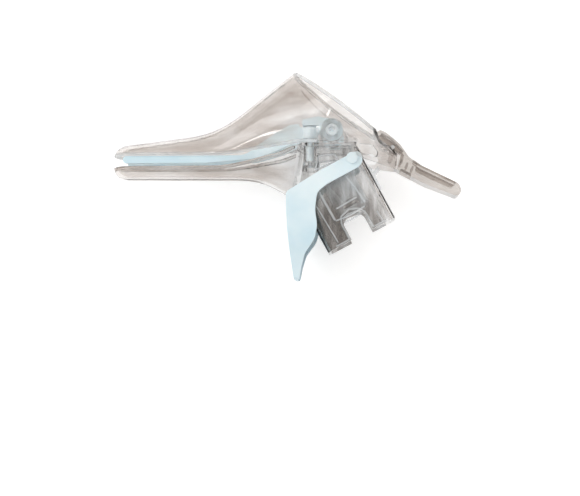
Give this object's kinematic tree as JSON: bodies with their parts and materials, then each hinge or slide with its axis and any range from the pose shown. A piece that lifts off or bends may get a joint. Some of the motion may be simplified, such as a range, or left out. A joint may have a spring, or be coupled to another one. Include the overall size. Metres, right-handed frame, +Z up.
{
  "type": "bivalve_speculum",
  "caption": "Clear plastic bivalve speculum with pale blue side retractors worked by a finger trigger, lying on its side",
  "frame": {"origin": "middle of the side that the instrument lies on, under the centre of its box", "axes": "+X from the blade tips to the thumb lever, +Y from the handle to the funnel, +Z up, across the instrument"},
  "size_m": [0.199, 0.12, 0.0572],
  "materials": {
    "clear_polystyrene": "gloss",
    "clear_pin_plastic": "gloss",
    "pale_blue_plastic": "satin"
  },
  "bodies": {
    "root": {"lower_blade": "clear_polystyrene", "handle_body": "clear_polystyrene", "lamp_cradle": "clear_pin_plastic", "trigger_pin": "pale_blue_plastic", "ratchet_rack": "clear_pin_plastic", "hinge_pin_left": "clear_pin_plastic", "side_bracket_left": "pale_blue_plastic", "retractor_pin_left": "pale_blue_plastic", "hinge_pin_right": "clear_pin_plastic", "side_bracket_right": "pale_blue_plastic", "retractor_pin_right": "pale_blue_plastic"},
    "upper": {"upper_blade": "clear_polystyrene", "thumb_lever": "clear_polystyrene", "pawl_pin": "clear_pin_plastic"},
    "pawl": {"ratchet_pawl": "clear_polystyrene"},
    "trigger_body": {"trigger": "pale_blue_plastic"},
    "retractor_body_left": {"retractor_left": "pale_blue_plastic"},
    "retractor_body_right": {"retractor_right": "pale_blue_plastic"}
  },
  "joints": [
    {"name": "valve_hinge", "type": "hinge", "parent": "root", "child": "upper", "pos_m": [0.02689, 0.02315, 0.0286], "axis": [0, 0, -1], "range_deg": [0, 15]},
    {"name": "pawl_pivot", "type": "hinge", "parent": "upper", "child": "pawl", "pos_m": [0.06089, 0.01576, 0.0286], "axis": [0, 0, 1], "range_deg": [0, 10]},
    {"name": "trigger_pull", "type": "hinge", "parent": "root", "child": "trigger_body", "pos_m": [0.03799, 0.00856, 0.0286], "axis": [0, 0, 1], "range_deg": [0, 14]},
    {"name": "retractor_swing_left", "type": "hinge", "parent": "root", "child": "retractor_body_left", "pos_m": [0.01429, 0.02315, 0.0438], "axis": [0, 1, 0], "range_deg": [0, 7]},
    {"name": "retractor_swing_right", "type": "hinge", "parent": "root", "child": "retractor_body_right", "pos_m": [0.01429, 0.02315, 0.0134], "axis": [0, 1, 0], "range_deg": [-7, 0]}
  ],
  "couplings": [
    {"joint": "retractor_swing_left", "follows": "trigger_pull", "ratio": 0.5},
    {"joint": "retractor_swing_right", "follows": "trigger_pull", "ratio": -0.5}
  ]
}
